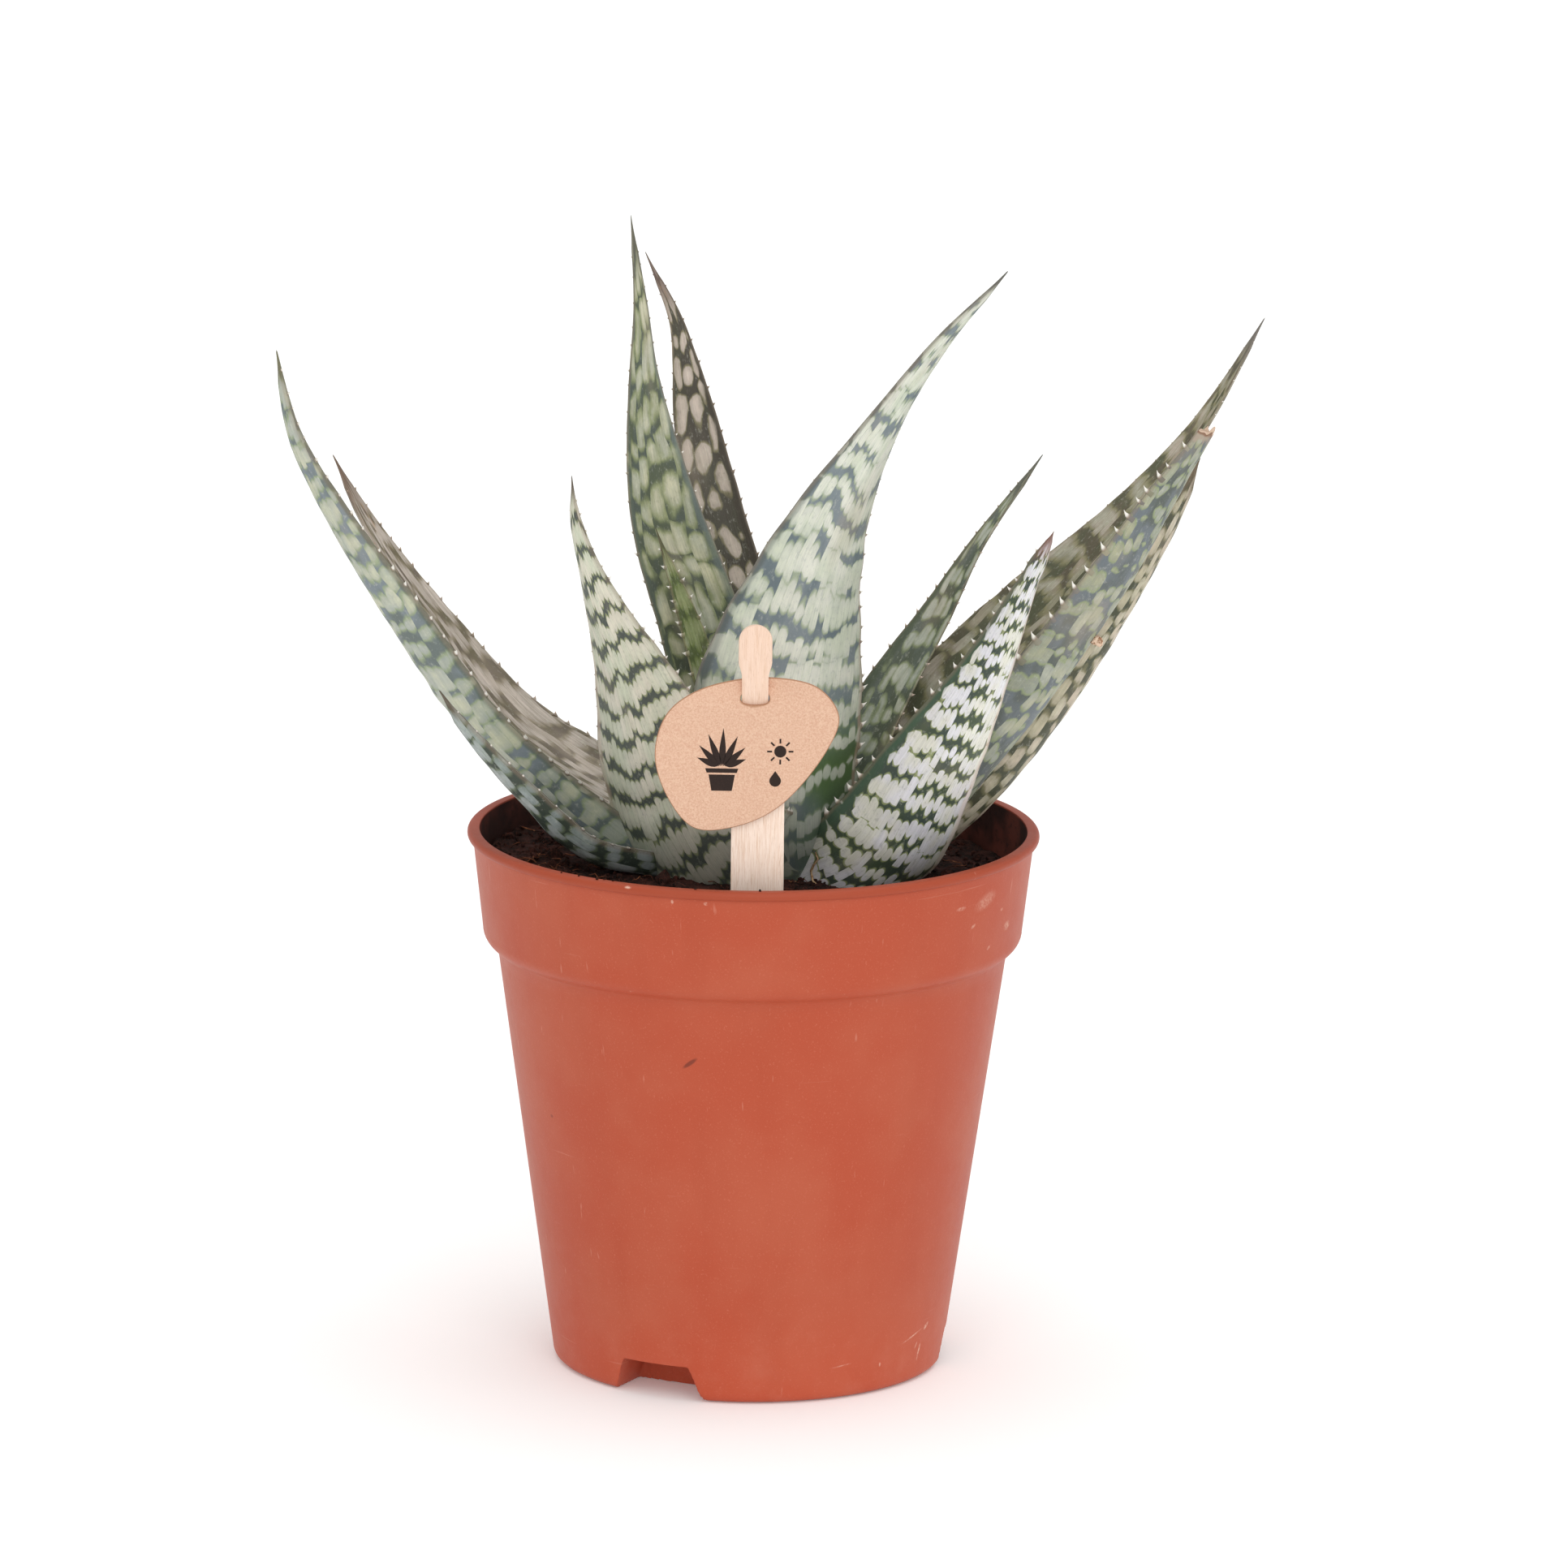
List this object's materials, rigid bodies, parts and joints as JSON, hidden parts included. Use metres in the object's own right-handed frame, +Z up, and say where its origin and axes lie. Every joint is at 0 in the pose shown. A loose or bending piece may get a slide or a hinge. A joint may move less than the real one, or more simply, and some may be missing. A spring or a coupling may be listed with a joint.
{
  "type": "potted bronze lizard aloe",
  "caption": "Rosette of long channelled leaves with toothed margins and pale blotches, in a round tapered nursery pot of soil, with a blank card tag on a wooden stick.",
  "frame": {"origin": "centre of the pot's flat base, on the surface that the pot stands on", "axes": "+Z up along the pot's axis, -Y towards the side with the label, +X to the right as seen from the label's side"},
  "size_m": [0.2075, 0.1198, 0.24],
  "materials": {
    "pot_plastic": "satin moulded terracotta-coloured plastic with fine scratches and scuffs",
    "potting_soil": "rough dark peat with crumbs and reddish fibres",
    "stem_tissue": "matte pale green base of the rosette",
    "leaf_skin": "waxy satin leaf skin, pale blotches on dark green, white-tipped teeth on the margins",
    "stick_wood": "bare pale wood with fine straight grain",
    "tag_card": null
  },
  "bodies": {
    "root": {"pot": "pot_plastic", "soil": "potting_soil", "stem": "stem_tissue", "leaf_heart": "leaf_skin", "leaf_tall_centre": "leaf_skin", "leaf_tall_left": "leaf_skin", "leaf_tall_back": "leaf_skin", "leaf_right_small": "leaf_skin", "leaf_right_long": "leaf_skin", "leaf_right_cut": "leaf_skin", "leaf_front_left": "leaf_skin", "leaf_front_right": "leaf_skin", "leaf_left_back": "leaf_skin", "leaf_left_long": "leaf_skin", "leaf_right_low": "leaf_skin", "leaf_back": "leaf_skin", "leaf_back_left": "leaf_skin", "leaf_back_right": "leaf_skin", "leaf_left_low": "leaf_skin", "label_stick": "stick_wood", "label_tag": "tag_card"}
  },
  "joints": []
}
